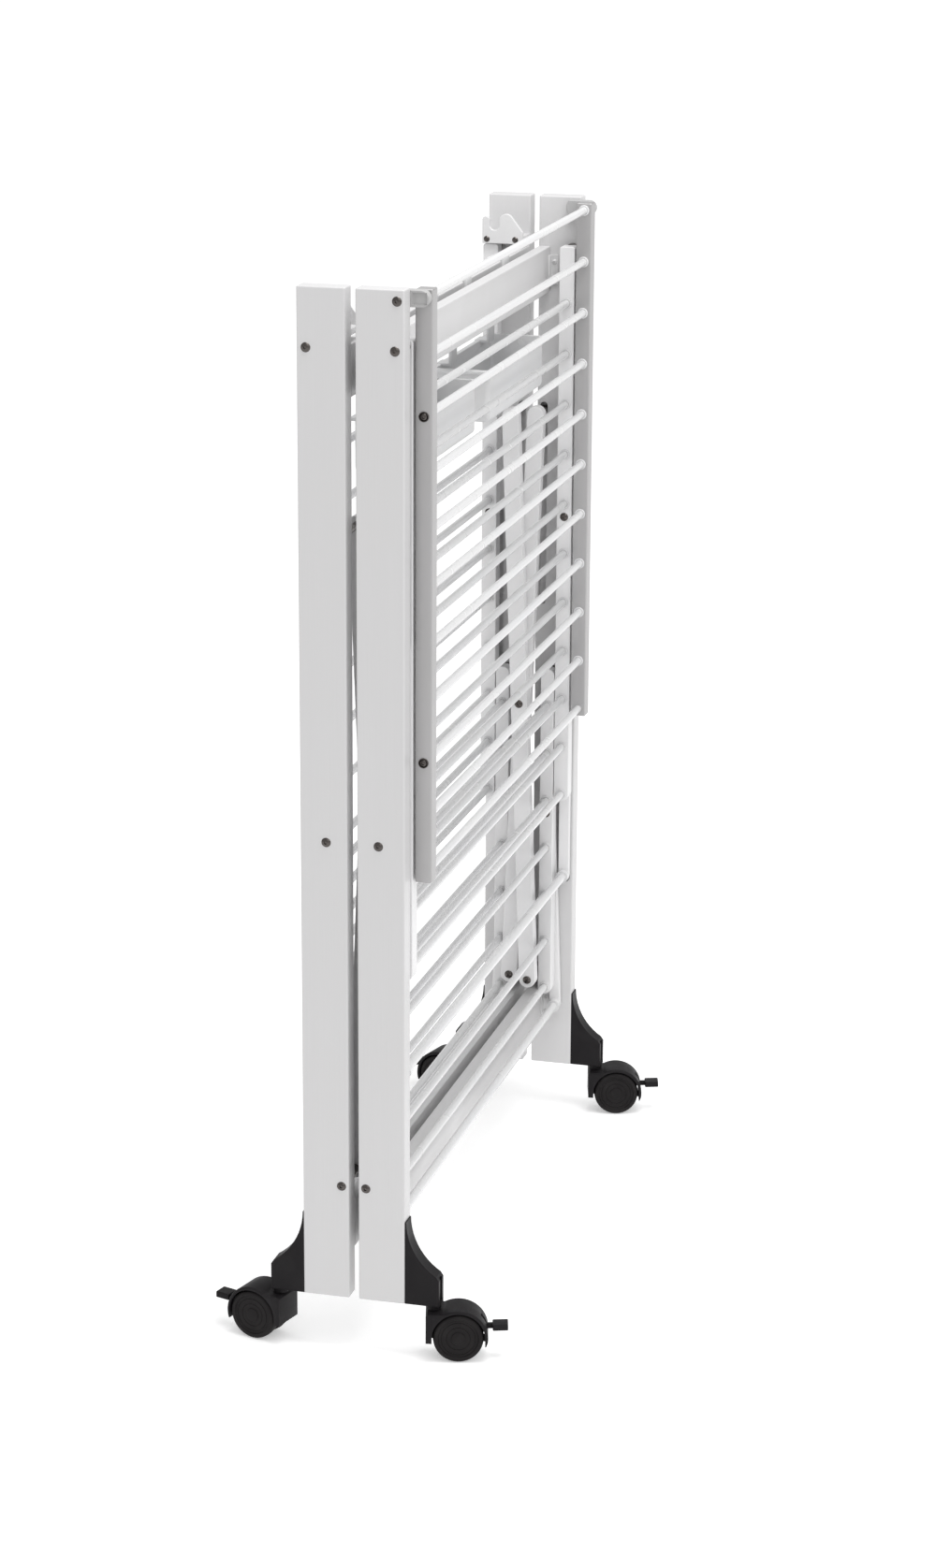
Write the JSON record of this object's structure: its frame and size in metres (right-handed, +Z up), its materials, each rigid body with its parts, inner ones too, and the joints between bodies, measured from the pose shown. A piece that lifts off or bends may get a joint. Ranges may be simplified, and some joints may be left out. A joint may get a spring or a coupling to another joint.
{
  "type": "folding drying rack",
  "caption": "Folding clothes dryer on castors: two tall frames joined by scissor links, with drying rods on a top rack and fold-out wings.",
  "frame": {"origin": "on the floor under the centre of the folded dryer's box", "axes": "+Z up, +X from the left frame to the right frame that carries the top rack, +Y along the rods away from the near end"},
  "size_m": [0.3238, 0.8004, 1.13],
  "materials": {
    "white_wood": "satin white paint over fine straight grain",
    "rod_resin": "smooth glossy white",
    "rack_aluminium": "satin silver-white",
    "block_plastic": "pale grey moulded",
    "tray_plastic": "white moulded",
    "hook_metal": "white enamel",
    "bolt_steel": "nickel plated",
    "castor_plastic": "matte black moulded",
    "wheel_plastic": "matte black moulded"
  },
  "bodies": {
    "right_frame": {"right_far_post": "white_wood", "right_near_post": "white_wood", "right_top_rail": "white_wood", "right_bottom_rail": "white_wood", "right_rail_angles": "hook_metal", "rack_hinge_blocks": "block_plastic", "right_pivot_bolts": "bolt_steel", "right_frame_screws": "white_wood", "right_castor_brackets": "castor_plastic", "right_castor_stems": "bolt_steel"},
    "left_frame": {"left_far_post": "white_wood", "left_near_post": "white_wood", "left_top_rail": "white_wood", "left_bottom_rail": "white_wood", "left_rail_angles": "hook_metal", "hook_brackets": "hook_metal", "left_pivot_bolts": "bolt_steel", "left_frame_screws": "bolt_steel", "left_castor_brackets": "castor_plastic", "left_castor_stems": "bolt_steel", "near_peg_tray": "tray_plastic", "far_peg_tray": "tray_plastic"},
    "front_links": {"front_scissor_links": "white_wood", "front_link_bolts": "bolt_steel"},
    "rear_links": {"rear_scissor_links": "white_wood", "rear_link_studs": "bolt_steel"},
    "top_rack": {"top_rack_bars": "rack_aluminium", "top_rack_rods": "rod_resin"},
    "right_upper_wing": {"right_upper_wing_bars": "white_wood", "right_upper_wing_rods": "rod_resin", "right_upper_wing_stay_pins": "bolt_steel"},
    "right_lower_wing": {"right_lower_wing_bars": "white_wood", "right_lower_wing_rods": "rod_resin", "right_lower_wing_stay_pins": "bolt_steel"},
    "right_upper_stay": {"right_upper_stay_arms": "white_wood", "right_upper_stay_rod": "rod_resin"},
    "right_lower_stay": {"right_lower_stay_arms": "white_wood", "right_lower_stay_rod": "rod_resin"},
    "left_upper_wing": {"left_upper_wing_bars": "white_wood", "left_upper_wing_rods": "rod_resin", "left_upper_wing_stay_pins": "bolt_steel"},
    "left_lower_wing": {"left_lower_wing_bars": "white_wood", "left_lower_wing_rods": "rod_resin", "left_lower_wing_stay_pins": "bolt_steel"},
    "left_upper_stay": {"left_upper_stay_arms": "white_wood", "left_upper_stay_rod": "rod_resin"},
    "left_lower_stay": {"left_lower_stay_arms": "white_wood", "left_lower_stay_rod": "rod_resin"},
    "near_right_castor": {"near_right_castor_hood": "castor_plastic"},
    "near_right_castor_wheels": {"near_right_castor_wheels": "wheel_plastic"},
    "near_right_castor_pedal": {"near_right_castor_pedal": "castor_plastic"},
    "far_right_castor": {"far_right_castor_hood": "castor_plastic"},
    "far_right_castor_wheels": {"far_right_castor_wheels": "wheel_plastic"},
    "far_right_castor_pedal": {"far_right_castor_pedal": "castor_plastic"},
    "near_left_castor": {"near_left_castor_hood": "castor_plastic"},
    "near_left_castor_wheels": {"near_left_castor_wheels": "wheel_plastic"},
    "near_left_castor_pedal": {"near_left_castor_pedal": "castor_plastic"},
    "far_left_castor": {"far_left_castor_hood": "castor_plastic"},
    "far_left_castor_wheels": {"far_left_castor_wheels": "wheel_plastic"},
    "far_left_castor_pedal": {"far_left_castor_pedal": "castor_plastic"}
  },
  "joints": [
    {"name": "scissor_open", "type": "hinge", "parent": "right_frame", "child": "front_links", "pos_m": [0.01325, 0, 0.186], "axis": [0, -1, 0], "range_deg": [0, 45.69]},
    {"name": "rear_link_turn", "type": "hinge", "parent": "front_links", "child": "rear_links", "pos_m": [0, 0, 0.53275], "axis": [0, -1, 0], "range_deg": [-91.38, 0]},
    {"name": "left_frame_glide", "type": "hinge", "parent": "rear_links", "child": "left_frame", "pos_m": [-0.01325, 0, 0.186], "axis": [0, -1, 0], "range_deg": [0, 45.7]},
    {"name": "top_rack_swing", "type": "hinge", "parent": "right_frame", "child": "top_rack", "pos_m": [0.06575, 0, 1.1187], "axis": [0, -1, 0], "range_deg": [0, 272.07]},
    {"name": "right_upper_wing_fold", "type": "hinge", "parent": "right_frame", "child": "right_upper_wing", "pos_m": [0.04575, 0, 1.0695], "axis": [0, -1, 0], "range_deg": [0, 89.79]},
    {"name": "right_lower_wing_fold", "type": "hinge", "parent": "right_frame", "child": "right_lower_wing", "pos_m": [0.02775, 0, 0.5615], "axis": [0, -1, 0], "range_deg": [0, 35.92]},
    {"name": "right_upper_stay_turn", "type": "hinge", "parent": "right_upper_wing", "child": "right_upper_stay", "pos_m": [0.04575, 0, 0.757], "axis": [0, -1, 0], "range_deg": [-133.91, 0]},
    {"name": "right_lower_stay_turn", "type": "hinge", "parent": "right_lower_wing", "child": "right_lower_stay", "pos_m": [0.02775, 0, 0.3905], "axis": [0, -1, 0], "range_deg": [-59.42, 0]},
    {"name": "left_upper_wing_fold", "type": "hinge", "parent": "left_frame", "child": "left_upper_wing", "pos_m": [-0.04575, 0, 1.0695], "axis": [0, 1, 0], "range_deg": [0, 90]},
    {"name": "left_lower_wing_fold", "type": "hinge", "parent": "left_frame", "child": "left_lower_wing", "pos_m": [-0.02775, 0, 0.5615], "axis": [0, 1, 0], "range_deg": [0, 36.01]},
    {"name": "left_upper_stay_turn", "type": "hinge", "parent": "left_upper_wing", "child": "left_upper_stay", "pos_m": [-0.04575, 0, 0.757], "axis": [0, 1, 0], "range_deg": [-134.13, 0]},
    {"name": "left_lower_stay_turn", "type": "hinge", "parent": "left_lower_wing", "child": "left_lower_stay", "pos_m": [-0.02775, 0, 0.3905], "axis": [0, 1, 0], "range_deg": [-59.55, 0]},
    {"name": "near_right_castor_swivel", "type": "hinge", "parent": "right_frame", "child": "near_right_castor", "pos_m": [0.08425, -0.374, 0], "axis": [0, 0, 1], "continuous": true},
    {"name": "near_right_castor_spin", "type": "hinge", "parent": "near_right_castor", "child": "near_right_castor_wheels", "pos_m": [0.10936, -0.36727, 0.027], "axis": [-0.2588, 0.9659, 0], "continuous": true},
    {"name": "near_right_castor_brake", "type": "hinge", "parent": "near_right_castor", "child": "near_right_castor_pedal", "pos_m": [0.13718, -0.35982, 0.035], "axis": [-0.2588, 0.9659, 0], "range_deg": [0, 10]},
    {"name": "far_right_castor_swivel", "type": "hinge", "parent": "right_frame", "child": "far_right_castor", "pos_m": [0.08425, 0.374, 0], "axis": [0, 0, 1], "continuous": true},
    {"name": "far_right_castor_spin", "type": "hinge", "parent": "far_right_castor", "child": "far_right_castor_wheels", "pos_m": [0.10936, 0.38073, 0.027], "axis": [-0.2588, 0.9659, 0], "continuous": true},
    {"name": "far_right_castor_brake", "type": "hinge", "parent": "far_right_castor", "child": "far_right_castor_pedal", "pos_m": [0.13718, 0.38818, 0.035], "axis": [-0.2588, 0.9659, 0], "range_deg": [0, 10]},
    {"name": "near_left_castor_swivel", "type": "hinge", "parent": "left_frame", "child": "near_left_castor", "pos_m": [-0.08425, -0.374, 0], "axis": [0, 0, 1], "continuous": true},
    {"name": "near_left_castor_spin", "type": "hinge", "parent": "near_left_castor", "child": "near_left_castor_wheels", "pos_m": [-0.10936, -0.36727, 0.027], "axis": [-0.2588, -0.9659, 0], "continuous": true},
    {"name": "near_left_castor_brake", "type": "hinge", "parent": "near_left_castor", "child": "near_left_castor_pedal", "pos_m": [-0.13718, -0.35982, 0.035], "axis": [-0.2588, -0.9659, 0], "range_deg": [0, 10]},
    {"name": "far_left_castor_swivel", "type": "hinge", "parent": "left_frame", "child": "far_left_castor", "pos_m": [-0.08425, 0.374, 0], "axis": [0, 0, 1], "continuous": true},
    {"name": "far_left_castor_spin", "type": "hinge", "parent": "far_left_castor", "child": "far_left_castor_wheels", "pos_m": [-0.10936, 0.38073, 0.027], "axis": [-0.2588, -0.9659, 0], "continuous": true},
    {"name": "far_left_castor_brake", "type": "hinge", "parent": "far_left_castor", "child": "far_left_castor_pedal", "pos_m": [-0.13718, 0.38818, 0.035], "axis": [-0.2588, -0.9659, 0], "range_deg": [0, 10]}
  ],
  "couplings": [
    {"joint": "rear_link_turn", "follows": "scissor_open", "ratio": -2},
    {"joint": "left_frame_glide", "follows": "scissor_open", "ratio": 1},
    {"joint": "right_upper_wing_fold", "follows": "top_rack_swing", "ratio": 0.33},
    {"joint": "right_lower_wing_fold", "follows": "top_rack_swing", "ratio": 0.132},
    {"joint": "right_upper_stay_turn", "follows": "top_rack_swing", "ratio": -0.49211},
    {"joint": "right_lower_stay_turn", "follows": "top_rack_swing", "ratio": -0.21831},
    {"joint": "left_lower_wing_fold", "follows": "left_upper_wing_fold", "ratio": 0.4},
    {"joint": "left_upper_stay_turn", "follows": "left_upper_wing_fold", "ratio": -1.4901},
    {"joint": "left_lower_stay_turn", "follows": "left_upper_wing_fold", "ratio": -0.6615}
  ]
}
